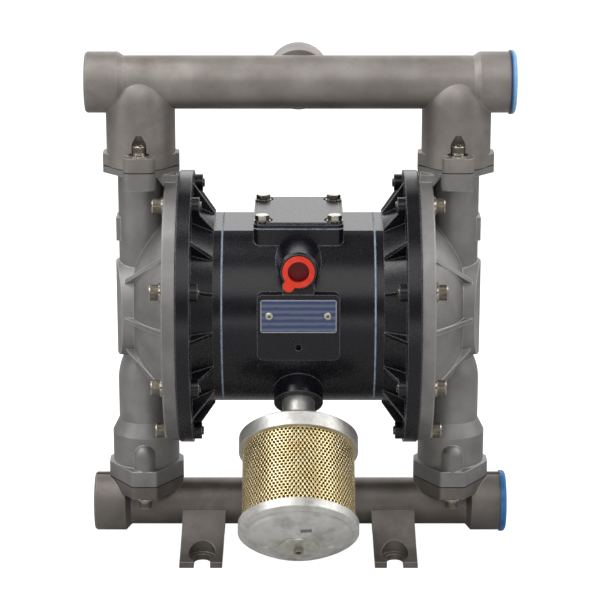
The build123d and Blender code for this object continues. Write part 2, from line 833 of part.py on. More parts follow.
# ---- transit caps ----
def make_port_cap(height):
    # A thin cover whose shallow skirt goes over the edge of the socket.
    face = port_face + 0.2
    skirt_end = port_face - port_cap_skirt
    end = port_face + port_cap_t
    skirt = [(skirt_end, 0), (skirt_end, port_cap_r), (end - 2.9, port_cap_r)]
    cover = turned_x(*skirt, (end - 1.2, port_cap_r - 1), (end, port_cap_r - 3.2), (end, 0))
    cover -= rod(socket_r + 0.35, (skirt_end, 0, 0), (face, 0, 0))
    return Pos(0, 0, height) * cover


def make_inlet_plug():
    face = air_inlet_face - 0.2
    plug = disc(16.5, 0, 2.3) + Pos(-10, -15, 0) * disc(6, 0, 2.3)
    plug += disc(air_relief_r - 0.3, -8.3, 0)
    plug -= disc(11, -7, 2.3)
    plug = plug.rotate(Axis.X, 90)
    return Pos(0, face, air_inlet_z) * plug


# ---- muffler ----
def make_muffler_top():
    shell = turned_z(
        (12, nipple_start),
        (nipple_r, nipple_start),
        (nipple_r, 138),
        (24, 140),
        (42, 149),
        (47, 157),
        (58, 158.5),
        (muffler_r, 161),
        (muffler_r, top_band_end),
        (screen_r + 0.2, top_band_end),
        (screen_r + 0.2, 166),
        (44, 162),
        (36, 153),
        (12, 145),
    )
    wrench = block((9, 24), (-9, 9), (136, 146)) - disc(12, 130, 150)
    cross_bar = block((-38, 38), (-5, 5), (150, 156)) - disc(tie_r, 145, 160)
    return exhaust_place(shell + wrench + cross_bar)


def make_muffler_screen():
    tube = disc(screen_r, 167, 266) - disc(screen_r - screen_t, 167, 266)
    return exhaust_place(tube)


def make_muffler_element():
    tube = disc(50, 166, 268) - disc(40, 166, 268)
    return exhaust_place(tube)


def make_muffler_bottom():
    shell = turned_z(
        (tie_hole_r, muffler_face - 6),
        (33, muffler_face - 8),
        (48, muffler_face - 14),
        (screen_r + 0.2, 267.5),
        (screen_r + 0.2, low_band_start),
        (muffler_r, low_band_start),
        (muffler_r, low_band_end - 1),
        (muffler_r - 1, low_band_end),
        (57, 271),
        (53.5, 271.2),
        (52, 274),
        (45, 277.8),
        (33, 281.8),
        (24, 283.8),
        (22, muffler_face),
        (tie_hole_r, muffler_face),
    )
    slot = block((-5.5, 5.5), (-2.6, 2.6), (muffler_face - 7, muffler_face + 2))
    shell -= Pos(7.6, 32, 0) * slot
    shell -= Pos(-7.6, -32, 0) * slot
    dimple = Pos(33.4, -3, muffler_face + 0.5) * Sphere(4.6)
    shell -= dimple
    shell -= dimple.mirror(Plane.YZ)
    return exhaust_place(shell)


def make_tie_bolt():
    face = muffler_face + washer_t
    bolt = disc(tie_r, tie_start, face) + disc(5, face, face + 4) - hexagon(5, face + 1.5, face + 4)
    return exhaust_place(bolt)


def make_tie_washer():
    ring = washer(21.4, tie_hole_r)
    return exhaust_place(Pos(0, 0, muffler_face) * ring)


# ---- everything in place ----
def place_columns():
    outlet_ball_z = top_joint_z + ball_rest_height()
    inlet_ball_z = bottom_joint_z + ball_rest_height()
    save_pair("outlet_seat", Pos(column_x, 0, top_joint_z) * make_seat())
    save_pair("inlet_seat", Pos(column_x, 0, bottom_joint_z) * make_seat())
    save_pair("outlet_ball", Pos(column_x, 0, outlet_ball_z) * Sphere(ball_r))
    save_pair("inlet_ball", Pos(column_x, 0, inlet_ball_z) * Sphere(ball_r))
    sides = (-column_x, column_x)
    rings = [Pos(x, 0, z) * make_seat_ring() for x in sides for z in (top_joint_z, bottom_joint_z)]
    save("seat_o_rings", group(rings))
    upper_face = top_joint_z + outlet_pad_t
    lower_face = bottom_joint_z - inlet_flange_t
    m8 = (m8_r, m8_head_r, m8_head_h)
    upper = Pos(0, -screw_y, upper_face + washer_t) * socket_screw(upper_face + washer_t - 140, *m8)
    lower = socket_screw(27.5 + inlet_flange_t + washer_t, *m8).rotate(Axis.X, 180)
    lower = Pos(0, -screw_y, lower_face - washer_t) * lower
    ring = washer(m8_washer_r, m8_clear_r)
    save("outlet_manifold_screws", group(Pos(x, 0, 0) * s for x in sides for s in front_and_back(upper)))
    save("inlet_manifold_screws", group(Pos(x, 0, 0) * s for x in sides for s in front_and_back(lower)))
    rings = [
        Pos(x, y, z) * ring
        for x in sides
        for y in (-screw_y, screw_y)
        for z in (upper_face, lower_face - washer_t)
    ]
    save("manifold_washers", group(rings))


def place_drive():
    inner = plate_inner_x
    membrane = inner + inner_plate_t
    outer = membrane + membrane_t
    save("shaft", make_shaft())
    save_pair("inner_plate", clamp_plate(inner, membrane, inner))
    save_pair("outer_plate", clamp_plate(outer, outer + outer_plate_t, outer + outer_plate_t))
    save_pair("diaphragm", make_diaphragm())
    save("plate_screws", make_plate_screws())
    save_pair("shaft_bush", bearing_ring(bush_r, block_half - bush_length, block_half))
    seal = bearing_ring(seal_pocket_r - 0.3, seal_x + 0.3, seal_x + seal_length - 0.3)
    save("shaft_seals", group([seal, seal.mirror(Plane.YZ)]))
    save("pilot_rod", make_pilot_rod())


def place_valve():
    cover_low = pedestal_z + cover_gasket_t
    gasket = make_cover_sheet(pedestal_z, cover_low, 4.6)
    gasket -= block((-valve_x, valve_x), (-valve_y, valve_y), (pedestal_z, cover_low))
    save("valve_sleeve", make_valve_sleeve())
    save("air_spool", make_spool())
    save("valve_cover", make_valve_cover())
    save("valve_cover_gasket", gasket)
    washers = at_cover_bolts(washer(8.5, 4.2, 1.6), cover_low + cover_t)
    save("valve_cover_washers", washers)
    save("valve_cover_bolts", at_cover_bolts(make_cover_bolt(), cover_low + cover_t + 1.6))


def place_all():
    os.makedirs("parts", exist_ok=True)
    save("outlet_manifold", make_outlet_manifold())
    save("outlet_rear_plug", make_rear_plug())
    save("inlet_manifold", make_inlet_manifold())
    save_pair("fluid_cap", make_fluid_cap())
    save_pair("air_cap", make_air_cap())
    save_pair("cap_gasket", make_cap_gasket())
    save_pair("chamber_screws", make_chamber_screws())
    save_pair("chamber_washers", make_chamber_washers())
    save_pair("air_cap_screws", make_cap_screws())
    save("centre_block", make_centre_block())
    place_columns()
    place_drive()
    place_valve()
    save("nameplate", make_nameplate())
    save("nameplate_screws", make_nameplate_screws())
    save("air_inlet_plug", make_inlet_plug())
    save("outlet_cap", make_port_cap(outlet_z))
    save("inlet_cap", make_port_cap(inlet_z))
    save("muffler_top_cap", make_muffler_top())
    save("muffler_screen", make_muffler_screen())
    save("muffler_element", make_muffler_element())
    save("muffler_bottom_cap", make_muffler_bottom())
    save("muffler_tie_bolt", make_tie_bolt())
    save("muffler_washer", make_tie_washer())


place_all()
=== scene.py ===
import math
import bpy
import bmesh
from mathutils import Matrix, Vector


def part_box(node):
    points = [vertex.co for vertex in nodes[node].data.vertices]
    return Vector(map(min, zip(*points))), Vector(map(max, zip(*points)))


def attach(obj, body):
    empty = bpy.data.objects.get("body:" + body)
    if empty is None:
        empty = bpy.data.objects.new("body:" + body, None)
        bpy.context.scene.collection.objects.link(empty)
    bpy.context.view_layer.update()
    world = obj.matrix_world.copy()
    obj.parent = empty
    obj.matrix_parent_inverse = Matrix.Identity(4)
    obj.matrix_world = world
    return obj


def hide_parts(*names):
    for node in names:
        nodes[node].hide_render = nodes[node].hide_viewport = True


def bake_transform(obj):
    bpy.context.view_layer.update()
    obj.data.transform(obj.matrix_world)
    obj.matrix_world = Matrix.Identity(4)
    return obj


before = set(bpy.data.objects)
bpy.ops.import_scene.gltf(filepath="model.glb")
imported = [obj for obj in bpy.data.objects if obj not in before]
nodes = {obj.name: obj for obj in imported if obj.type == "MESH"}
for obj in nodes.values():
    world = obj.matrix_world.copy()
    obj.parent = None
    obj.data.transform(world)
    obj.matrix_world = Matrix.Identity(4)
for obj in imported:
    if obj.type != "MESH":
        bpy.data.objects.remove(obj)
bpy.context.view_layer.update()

mm = 0.001
shaftHeight = 269.0  # the shaft axis above the floor, in millimetres like every size below


def linear(hexColour):
    # sRGB hex to the linear colour that a shader takes
    value = hexColour.lstrip("#")
    out = []
    for i in (0, 2, 4):
        c = int(value[i:i + 2], 16) / 255
        out.append(c / 12.92 if c <= 0.04045 else ((c + 0.055) / 1.055) ** 2.4)
    return (*out, 1.0)


def addNode(tree, kind, settings=None, links=None):
    # settings: property or input to value, "stops" being a ramp's (place, colour) pairs
    # links: input to the output socket that feeds it
    node = tree.nodes.new(kind)
    for key, value in (settings or {}).items():
        if key == "stops":
            for element, (place, colour) in zip(node.color_ramp.elements, value):
                element.position = place
                element.color = colour
        elif isinstance(key, str) and hasattr(node, key):
            setattr(node, key, value)
        else:
            node.inputs[key].default_value = value
    for key, socket in (links or {}).items():
        tree.links.new(socket, node.inputs[key])
    return node


def startMaterial(name, settings):
    material = bpy.data.materials.new(name)
    material.use_nodes = True
    tree = material.node_tree
    shader = tree.nodes["Principled BSDF"]
    for key, value in settings.items():
        shader.inputs[key].default_value = value
    place = addNode(tree, "ShaderNodeTexCoord").outputs["Object"]
    return material, tree, shader, place


# For every finish: where a pattern starts to count and where it counts in full.
span = {
    "patches": (0.34, 0.66), "stain": (0.5, 0.72), "wearAndSheen": (0.99, 0.86), "grain": (0.3, 0.7),
    "bumpShare": 0.15,  # height of the bump as a share of the grain's size
}


def makeFinish(name, look, pieces):
    # cloudMm: size of the patches between the dark and light colour
    # grainMm: size of the grain that drives roughness and bump, coarser than most real grain so
    # that it shows
    # optional: stain for blotches of a second colour, wearAndSheen for paler edges that are partly rubbed
    # wear and partly painted highlight, shadeFade for painted shade that comes in along an axis between
    # two places in mm, shadeSeamZ for dark lines of painted shade along the joint planes
    material, tree, shader, place = startMaterial(name, look.get("shader", {}))
    stretched = addNode(
        tree, "ShaderNodeMapping", {"Scale": look.get("stretch", (1, 1, 1))}, {"Vector": place}
    )
    cloud = addNode(
        tree, "ShaderNodeTexNoise", {"Scale": 1 / (look["cloudMm"] * mm), "Detail": 4.0},
        {"Vector": place},
    )
    grain = addNode(
        tree, "ShaderNodeTexNoise", {"Scale": 1 / (look["grainMm"] * mm), "Detail": 3.0},
        {"Vector": stretched.outputs["Vector"]},
    )
    stops = list(zip(span["patches"], (linear(look["dark"]), linear(look["light"]))))
    patches = addNode(tree, "ShaderNodeValToRGB", {"stops": stops}, {"Fac": cloud.outputs["Fac"]})
    colour = patches.outputs["Color"]
    rounded = addNode(tree, "ShaderNodeBevel", {"samples": 4, "Radius": look["edgeMm"] * mm})
    if "stain" in look:
        blotch = addNode(
            tree, "ShaderNodeTexNoise",
            {"Scale": 1 / (look["stainMm"] * mm), "Detail": 7.0, "Roughness": 0.62},
            {"Vector": place},
        )
        amount = addNode(
            tree, "ShaderNodeMapRange",
            {"From Min": span["stain"][0], "From Max": span["stain"][1], "To Max": look["stainShare"]},
            {"Value": blotch.outputs["Fac"]},
        )
        stained = addNode(
            tree, "ShaderNodeMix", {"data_type": "RGBA", 7: linear(look["stain"])},
            {0: amount.outputs["Result"], 6: colour},
        )
        colour = stained.outputs[2]
    if "wearAndSheen" in look:
        # painted highlight: the edges are lightened toward the edge colour, partly rubbed wear and partly the
        # highlight along each edge
        # the rounded normal leaves the true one only beside an edge
        true = addNode(tree, "ShaderNodeNewGeometry")
        along = addNode(
            tree, "ShaderNodeVectorMath", {"operation": "DOT_PRODUCT"},
            {0: rounded.outputs["Normal"], 1: true.outputs["Normal"]},
        )
        edge = addNode(
            tree, "ShaderNodeMapRange",
            {"From Min": span["wearAndSheen"][0], "From Max": span["wearAndSheen"][1], "To Max": look["wearAndSheenShare"]},
            {"Value": along.outputs["Value"]},
        )
        wearAndSheenMix = addNode(
            tree, "ShaderNodeMix", {"data_type": "RGBA", 7: linear(look["wearAndSheen"])},
            {0: edge.outputs["Result"], 6: colour},
        )
        colour = wearAndSheenMix.outputs[2]
    split = addNode(tree, "ShaderNodeSeparateXYZ", None, {"Vector": place})
    # painted shade: a darker colour drawn in along an axis, for the insides of recesses and gaps
    if "shadeFade" in look:
        axis, start, end, shadeColour = look["shadeFade"]
        shadeAmount = addNode(
            tree, "ShaderNodeMapRange", {"From Min": start * mm, "From Max": end * mm},
            {"Value": split.outputs[axis]},
        )
        shadeMix = addNode(
            tree, "ShaderNodeMix", {"data_type": "RGBA", 7: linear(shadeColour)},
            {0: shadeAmount.outputs["Result"], 6: colour},
        )
        colour = shadeMix.outputs[2]
    # painted shade: a dark line along each joint plane stands for the shade in the gap between the parts
    for seam in look.get("shadeSeamZ", []):
        inSeamShade = addNode(
            tree, "ShaderNodeMath",
            {"operation": "COMPARE", 1: (shaftHeight + seam) * mm, 2: look["shadeSeamMm"] * mm},
            {0: split.outputs["Z"]},
        )
        seamShaded = addNode(
            tree, "ShaderNodeMix", {"data_type": "RGBA", 7: linear(look["seam"])},
            {0: inSeamShade.outputs[0], 6: colour},
        )
        colour = seamShaded.outputs[2]
    rough = addNode(
        tree, "ShaderNodeMapRange",
        {
            "From Min": span["grain"][0], "From Max": span["grain"][1],
            "To Min": look["rough"][0], "To Max": look["rough"][1],
        },
        {"Value": grain.outputs["Fac"]},
    )
    bump = addNode(
        tree, "ShaderNodeBump",
        {"Strength": look["bump"], "Distance": look["grainMm"] * span["bumpShare"] * mm},
        {"Height": grain.outputs["Fac"], "Normal": rounded.outputs["Normal"]},
    )
    tree.links.new(colour, shader.inputs["Base Color"])
    tree.links.new(rough.outputs["Result"], shader.inputs["Roughness"])
    tree.links.new(bump.outputs["Normal"], shader.inputs["Normal"])
    for piece in pieces:
        data = nodes[piece].data
        data.materials.clear()
        data.materials.append(material)
    return material


# Stainless castings, bead-blasted: a dull neutral grey with a fine even grain, soft broad
# highlights, brownish blotches left by the heat, and paler edges, partly rubbed and partly painted highlight.
castSteel = {
    "light": "#b0aaa5", "dark": "#99938e", "cloudMm": 42, "grainMm": 1.4, "rough": (0.5, 0.62), "bump": 0.35,
    "stain": "#85786f", "stainMm": 55, "stainShare": 0.65, "wearAndSheen": "#dedad4", "wearAndSheenShare": 0.6, "edgeMm": 1.3,
    # dark lines are painted at these two joint planes as the shade in the gaps
    "shadeSeamZ": [155.6, -189.5], "shadeSeamMm": 0.55, "seam": "#2c2927",
    "shader": {"Metallic": 1.0},
}
castStainless = makeFinish("beadBlastedStainless", castSteel, ["outlet_manifold"])

# The inlet manifold sits low under the pump and takes a darker copy of the finish, as painted shade.
shadedInletSteel = {**castSteel, "light": "#98928d", "dark": "#817b76", "stain": "#6c625b"}
makeFinish("shadedLowStainless", shadedInletSteel, ["inlet_manifold"])

# The liquid caps are from a second melt, more neutral and less stained, with brighter edges, partly rubbed
# and partly painted highlight along the ribs.
capSteel = {
    **castSteel, "light": "#adabaa", "dark": "#979594", "stain": "#827c77", "stainShare": 0.45,
    "wearAndSheen": "#f0eeea", "wearAndSheenShare": 0.9,
}
makeFinish("beadBlastedStainlessCap", capSteel, ["fluid_cap_left", "fluid_cap_right"])

# Semi-gloss black enamel on cast aluminium: nearly black from the front and pale grey where it
# mirrors the light at a low angle, with a slight orange peel and greyish edges, partly rubbed paint and
# partly painted highlight.
blackEnamel = {
    "light": "#121219", "dark": "#0c0c12", "cloudMm": 26, "grainMm": 2.4, "rough": (0.24, 0.3), "bump": 0.05,
    "stain": "#1a1a1e", "stainMm": 34, "stainShare": 0.5, "wearAndSheen": "#a2a3a7", "wearAndSheenShare": 0.6, "edgeMm": 1.3,
    "shader": {"IOR": 1.48},
}
blackPaint = makeFinish(
    "semiGlossBlackEnamel", blackEnamel, ["centre_block", "air_cap_left", "air_cap_right", "valve_cover"]
)

# Knurled sides of the screw heads, and the recesses of the nameplate screws: coloured browner and darker as
# painted shade, and duller.
paintedShadeSteel = makeFinish("knurlAndRecessShade", {
    "light": "#8a8276", "dark": "#6d665b", "cloudMm": 4, "grainMm": 0.8, "rough": (0.28, 0.4), "bump": 0.1,
    "edgeMm": 0.3, "shader": {"Metallic": 1.0},
}, [])

# Cold-formed stainless screws: bright and smooth, with short sharp highlights.
screwSteel = makeFinish("coldFormedStainless", {
    "light": "#c6c1b7", "dark": "#a39d93", "cloudMm": 6, "grainMm": 0.8, "rough": (0.16, 0.28), "bump": 0.1,
    "edgeMm": 0.35, "shader": {"Metallic": 1.0},
}, [
    "outlet_manifold_screws", "inlet_manifold_screws", "manifold_washers", "chamber_screws_left",
    "chamber_screws_right", "chamber_washers_left", "chamber_washers_right", "air_cap_screws_left",
    "air_cap_screws_right", "valve_cover_bolts", "valve_cover_washers", "nameplate_screws", "plate_screws",
    "muffler_tie_bolt",
])

# Turned stainless bar: fine rings that stretch the highlights.
makeFinish("turnedStainless", {
    "light": "#cfccc6", "dark": "#b0ada7", "cloudMm": 12, "grainMm": 0.7, "stretch": (1, 1, 6),
    "rough": (0.2, 0.34), "bump": 0.15, "edgeMm": 0.4, "shader": {"Metallic": 1.0},
}, [
    "shaft", "pilot_rod", "outlet_seat_left", "outlet_seat_right", "inlet_seat_left", "inlet_seat_right",
    "outlet_rear_plug",
])

# Die-cast aluminium of the muffler ends: pale grey, matt, slightly pitted and smudged.
makeFinish("dieCastAluminium", {
    "light": "#efeeea", "dark": "#dbd9d4", "cloudMm": 18, "grainMm": 1.3, "rough": (0.4, 0.54), "bump": 0.45,
    "stain": "#a09c95", "stainMm": 24, "stainShare": 0.6, "wearAndSheen": "#f2f2ee", "wearAndSheenShare": 0.6, "edgeMm": 1.0,
    "shader": {"Metallic": 1.0},
}, ["muffler_top_cap", "muffler_bottom_cap"])

# Zinc-plated steel: pale and slightly yellow, brighter than the casting round it.
zincPlate = makeFinish("zincPlatedSteel", {
    "light": "#e6e4da", "dark": "#cbc8bd", "cloudMm": 7, "grainMm": 0.9, "rough": (0.36, 0.48), "bump": 0.2,
    "edgeMm": 0.4, "shader": {"Metallic": 1.0},
}, ["muffler_washer"])

# Machined aluminium: clean pale grey with soft highlights.
makeFinish("machinedAluminium", {
    "light": "#cfcfcf", "dark": "#b8b8b8", "cloudMm": 20, "grainMm": 0.7, "rough": (0.28, 0.4), "bump": 0.1,
    "edgeMm": 0.5, "shader": {"Metallic": 1.0},
}, ["inner_plate_left", "inner_plate_right", "outer_plate_left", "outer_plate_right", "valve_sleeve"])

# Perforated brass sheet: pale gold, smooth, a little tarnished in patches.
screenBrass = makeFinish("perforatedBrassSheet", {
    "light": "#f2dfae", "dark": "#e2ca92", "cloudMm": 26, "grainMm": 0.9, "rough": (0.2, 0.28), "bump": 0.04,
    "edgeMm": 0.2, "shader": {"Metallic": 1.0},
}, ["muffler_screen"])

# Turned bearing bronze: warm yellow brown with a dull shine.
makeFinish("bearingBronze", {
    "light": "#c99b56", "dark": "#9f7536", "cloudMm": 10, "grainMm": 0.8, "rough": (0.3, 0.42), "bump": 0.1,
    "edgeMm": 0.4, "shader": {"Metallic": 1.0},
}, ["shaft_bush_left", "shaft_bush_right"])

# Moulded polyethylene transit plugs and covers: strong colour, waxy soft highlights.
softPlastic = {
    "IOR": 1.5, "Specular IOR Level": 0.35, "Subsurface Weight": 0.1,
    "Subsurface Radius": (0.004, 0.0015, 0.001),
}
makeFinish("redPolyethylene", {
    "light": "#f8492f", "dark": "#ee3822", "cloudMm": 9, "grainMm": 0.9, "rough": (0.28, 0.4), "bump": 0.06,
    "shadeFade": ("Y", -106.5, -101.5, "#75040f"),  # painted shade: the cup darkens to a deep red towards its floor
    "edgeMm": 0.5, "shader": softPlastic,
}, ["air_inlet_plug"])
makeFinish("paleBluePolyethylene", {
    "light": "#8fc0ee", "dark": "#78aee0", "cloudMm": 5, "grainMm": 1.2, "rough": (0.3, 0.42), "bump": 0.3,
    # painted shade: the cap darkens to navy towards its inner edge by the manifold, where the gap lies in
    # shade
    "shadeFade": ("X", 221.8, 219.4, "#1d3f66"), "edgeMm": 0.6, "shader": softPlastic,
}, ["outlet_cap"])
makeFinish("darkBluePolyethylene", {
    "light": "#3c7db8", "dark": "#2767a0", "cloudMm": 14, "grainMm": 1.2, "rough": (0.3, 0.42), "bump": 0.06,
    "edgeMm": 0.6, "shader": softPlastic,
}, ["inlet_cap"])

# Pale blue gasket sheet, matt and faintly fibrous where its edge shows.
makeFinish("fibreGasketSheet", {
    "light": "#a9bbd0", "dark": "#8598b0", "cloudMm": 8, "grainMm": 0.8, "rough": (0.6, 0.75), "bump": 0.2,
    "edgeMm": 0.3, "shader": {"IOR": 1.5},
}, ["cap_gasket_left", "cap_gasket_right", "valve_cover_gasket"])

# Turned white fluoropolymer: waxy, with soft edges to its shadows.
makeFinish("whiteFluoropolymer", {
    "light": "#f0eeea", "dark": "#e2dfd8", "cloudMm": 14, "grainMm": 1.0, "rough": (0.3, 0.4), "bump": 0.05,
    "edgeMm": 0.3, "shader": {"IOR": 1.38, "Subsurface Weight": 0.1},
}, ["outlet_ball_left", "outlet_ball_right", "inlet_ball_left", "inlet_ball_right"])

# Moulded nitrile rubber: nearly black and matt, with no sharp highlight.
rubber = makeFinish("mouldedNitrileRubber", {
    "light": "#2a2a2b", "dark": "#1c1c1d", "cloudMm": 12, "grainMm": 0.9, "rough": (0.6, 0.75), "bump": 0.25,
    "edgeMm": 0.4, "shader": {"IOR": 1.52},
}, ["seat_o_rings", "diaphragm_left", "diaphragm_right", "shaft_seals"])

# Moulded filled acetal: dark grey and smooth, with a soft sheen.
makeFinish("filledAcetal", {
    "light": "#2d2e30", "dark": "#222325", "cloudMm": 12, "grainMm": 0.9, "rough": (0.35, 0.5), "bump": 0.08,
    "edgeMm": 0.4, "shader": {"IOR": 1.48},
}, ["air_spool"])

# Felt sleeve behind the screen: quite dull, and coloured dark brown as painted shade inside the muffler, so
# that the holes read as dark dots.
makeFinish("woolFelt", {
    "light": "#6a5230", "dark": "#4d3b20", "cloudMm": 5, "grainMm": 1.1, "rough": (0.85, 0.95), "bump": 0.8,
    "edgeMm": 0.5, "shader": {"IOR": 1.5},
}, ["muffler_element"])
print("materials made")

# Blank printed aluminium nameplate: dull blue with paler rows, and a bright bare border.
plateLook = {
    "blue": "#46527c", "slate": "#6c7688", "edge": "#aeb1b6", "border": 1.0, "rowMm": 6.4,
    "lowZ": 2.2, "highZ": 37.2, "halfX": 39.0, "rough": (0.3, 0.45), "scuffMm": 7,
    "rowStops": (0.42, 0.62), "wobble": 0.5, "metal": 0.35,
}


def makeNameplate(name, look):
    material, tree, shader, place = startMaterial(name, {"Metallic": look["metal"]})
    split = addNode(tree, "ShaderNodeSeparateXYZ", None, {"Vector": place})
    middleZ = (shaftHeight + (look["lowZ"] + look["highZ"]) / 2) * mm
    insideZ = ((look["highZ"] - look["lowZ"]) / 2 - look["border"]) * mm
    insideX = (look["halfX"] - look["border"]) * mm
    fromMiddle = addNode(
        tree, "ShaderNodeMath", {"operation": "SUBTRACT", 1: middleZ}, {0: split.outputs["Z"]}
    )
    absZ = addNode(tree, "ShaderNodeMath", {"operation": "ABSOLUTE"}, {0: fromMiddle.outputs[0]})
    absX = addNode(tree, "ShaderNodeMath", {"operation": "ABSOLUTE"}, {0: split.outputs["X"]})
    outZ = addNode(tree, "ShaderNodeMath", {"operation": "GREATER_THAN", 1: insideZ}, {0: absZ.outputs[0]})
    outX = addNode(tree, "ShaderNodeMath", {"operation": "GREATER_THAN", 1: insideX}, {0: absX.outputs[0]})
    rim = addNode(tree, "ShaderNodeMath", {"operation": "MAXIMUM"}, {0: outZ.outputs[0], 1: outX.outputs[0]})
    rows = addNode(
        tree, "ShaderNodeMath", {"operation": "MULTIPLY", 1: 1 / (look["rowMm"] * mm)},
        {0: fromMiddle.outputs[0]},
    )
    row = addNode(tree, "ShaderNodeMath", {"operation": "FRACT"}, {0: rows.outputs[0]})
    scuff = addNode(
        tree, "ShaderNodeTexNoise", {"Scale": 1 / (look["scuffMm"] * mm), "Detail": 5.0}, {"Vector": place}
    )
    wobble = addNode(
        tree, "ShaderNodeMath",
        {"operation": "MULTIPLY_ADD", 1: look["wobble"], 2: -look["wobble"] / 2},
        {0: scuff.outputs["Fac"]},
    )
    band = addNode(tree, "ShaderNodeMath", {"operation": "ADD"}, {0: row.outputs[0], 1: wobble.outputs[0]})
    stops = list(zip(look["rowStops"], (linear(look["blue"]), linear(look["slate"]))))
    printed = addNode(tree, "ShaderNodeValToRGB", {"stops": stops}, {"Fac": band.outputs[0]})
    colour = addNode(
        tree, "ShaderNodeMix", {"data_type": "RGBA", 7: linear(look["edge"])},
        {0: rim.outputs[0], 6: printed.outputs["Color"]},
    )
    rough = addNode(
        tree, "ShaderNodeMapRange", {"To Min": look["rough"][0], "To Max": look["rough"][1]},
        {"Value": scuff.outputs["Fac"]},
    )
    tree.links.new(colour.outputs[2], shader.inputs["Base Color"])
    tree.links.new(rough.outputs["Result"], shader.inputs["Roughness"])
    nodes["nameplate"].data.materials.clear()
    nodes["nameplate"].data.materials.append(material)


makeNameplate("printedAluminiumSheet", plateLook)
unfinished = []
for name, piece in nodes.items():
    given = piece.data.materials
    if not given or not given[0].use_nodes:
        unfinished.append(name)
print("finished nodes", len(nodes) - len(unfinished), "left", unfinished)


def addPiece(name, mesh, material, replaced=None, body="housing"):
    # turns a finished bmesh into a piece that rides on a body, or on none
    data = bpy.data.meshes.new(name)
    mesh.to_mesh(data)
    mesh.free()
    data.materials.append(material)
    piece = bpy.data.objects.new(name, data)
    bpy.context.collection.objects.link(piece)
    if replaced:
        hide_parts(replaced)
    if body:
        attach(piece, body)
    return piece


# Muffler screen: 0.5 mm sheet with staggered round holes, 2.5 mm wide and 4.3 mm apart, which is
# about a tenth coarser than the real 3.9 mm so that they show.
screen = {
    "radius": 57.0, "start": 167.0, "end": 266.0, "across": 84, "rows": 30, "hole": 1.25, "sides": 8,
    "thick": 0.5, "snapAround": 720, "snapAlong": 100,  # steps a hole and a mm, to match corners
    "exhaustAngle": 42.0,  # degrees below the horizontal, towards the front
}


def makeScreen():
    around = screen["across"]
    high = (screen["end"] - screen["start"]) / screen["rows"]
    wide = 2 * math.pi * screen["radius"] / around
    mesh = bmesh.new()
    known = {}

    def corner(u, v):
        # u is along the circumference and v along the axis, both in millimetres
        snap = screen["snapAround"]
        key = (round(u / wide * snap) % (around * snap), round(v * screen["snapAlong"]))
        if key not in known:
            angle = u / screen["radius"]
            spot = Vector((math.sin(angle) * screen["radius"], -math.cos(angle) * screen["radius"], v))
            known[key] = mesh.verts.new(spot * mm)
        return known[key]

    for row in range(screen["rows"]):
        low = screen["start"] + row * high
        for column in range(around):
            left = (column + 0.5 * (row % 2)) * wide
            right, top = left + wide, low + high
            middle = (left + wide / 2, low + high / 2)
            rim = []
            for i in range(screen["sides"]):
                angle = 2 * math.pi * (i + 0.5) / screen["sides"]
                across = middle[0] + screen["hole"] * math.cos(angle)
                rim.append((across, middle[1] + screen["hole"] * math.sin(angle)))
            quarters = [
                [(right, middle[1]), (right, top), (middle[0], top)],
                [(middle[0], top), (left, top), (left, middle[1])],
                [(left, middle[1]), (left, low), (middle[0], low)],
                [(middle[0], low), (right, low), (right, middle[1])],
            ]
            step = screen["sides"] // 4
            for i, outer in enumerate(quarters):
                inner = [rim[(i * step + j) % screen["sides"]] for j in range(step)]
                follow = rim[(i + 1) * step % screen["sides"]]
                mesh.faces.new([corner(*p) for p in [*outer, *reversed(inner)]])
                mesh.faces.new([corner(*p) for p in [outer[2], follow, inner[-1]]])
    for face in mesh.faces:
        face.smooth = True
    tilt = Matrix.Rotation(math.radians(90 + screen["exhaustAngle"]), 4, "X")
    mesh.transform(Matrix.Translation((0, 0, shaftHeight * mm)) @ tilt)
    piece = addPiece("perforatedScreen", mesh, screenBrass, "muffler_screen")
    sheet = piece.modifiers.new("sheet", "SOLIDIFY")
    sheet.thickness = screen["thick"] * mm
    sheet.offset = 1.0


makeScreen()
print("screen made")

# Hexagon socket head screws with knurled heads. The thread is drawn on the tip alone,
# because the rest of each shank is hidden.
jointScrew = {
    "sides": 72, "headR": 6.5, "headH": 8.0, "knurl": 0.16, "shankR": 4.0, "flats": 6.0, "socket": 4.0,
    "threadTip": 9.0, "pitch": 1.25, "threadDepth": 0.6, "lockR": 6.6, "lockT": 2.2,
}
chamberScrew = {
    "sides": 72, "headR": 8.0, "headH": 10.0, "knurl": 0.2, "shankR": 5.0, "flats": 8.0, "socket": 5.0,
    "threadTip": 9.0, "pitch": 1.5, "threadDepth": 0.7, "count": 8,
}


# Edges of a screw in millimetres, each as (in from the radius, up or down from the face).
screwEdges = {
    "tip": (1.0, 0.9),
    "lockLow": [(0.2, 0.0), (0.0, 0.25)], "lockHigh": [(0.0, 0.3), (0.2, 0.1)], "grooveIn": 1.3,
    "headLow": [(0.6, 0.0, "round"), (0.25, 0.4, "round"), (0.0, 0.9, "knurl")],
    "headHigh": [(0.0, 1.5, "knurl"), (0.3, 1.0, "round"), (0.5, 0.5, "round"), (1.1, 0.0, "round")],
    "socketLead": 0.5,
}


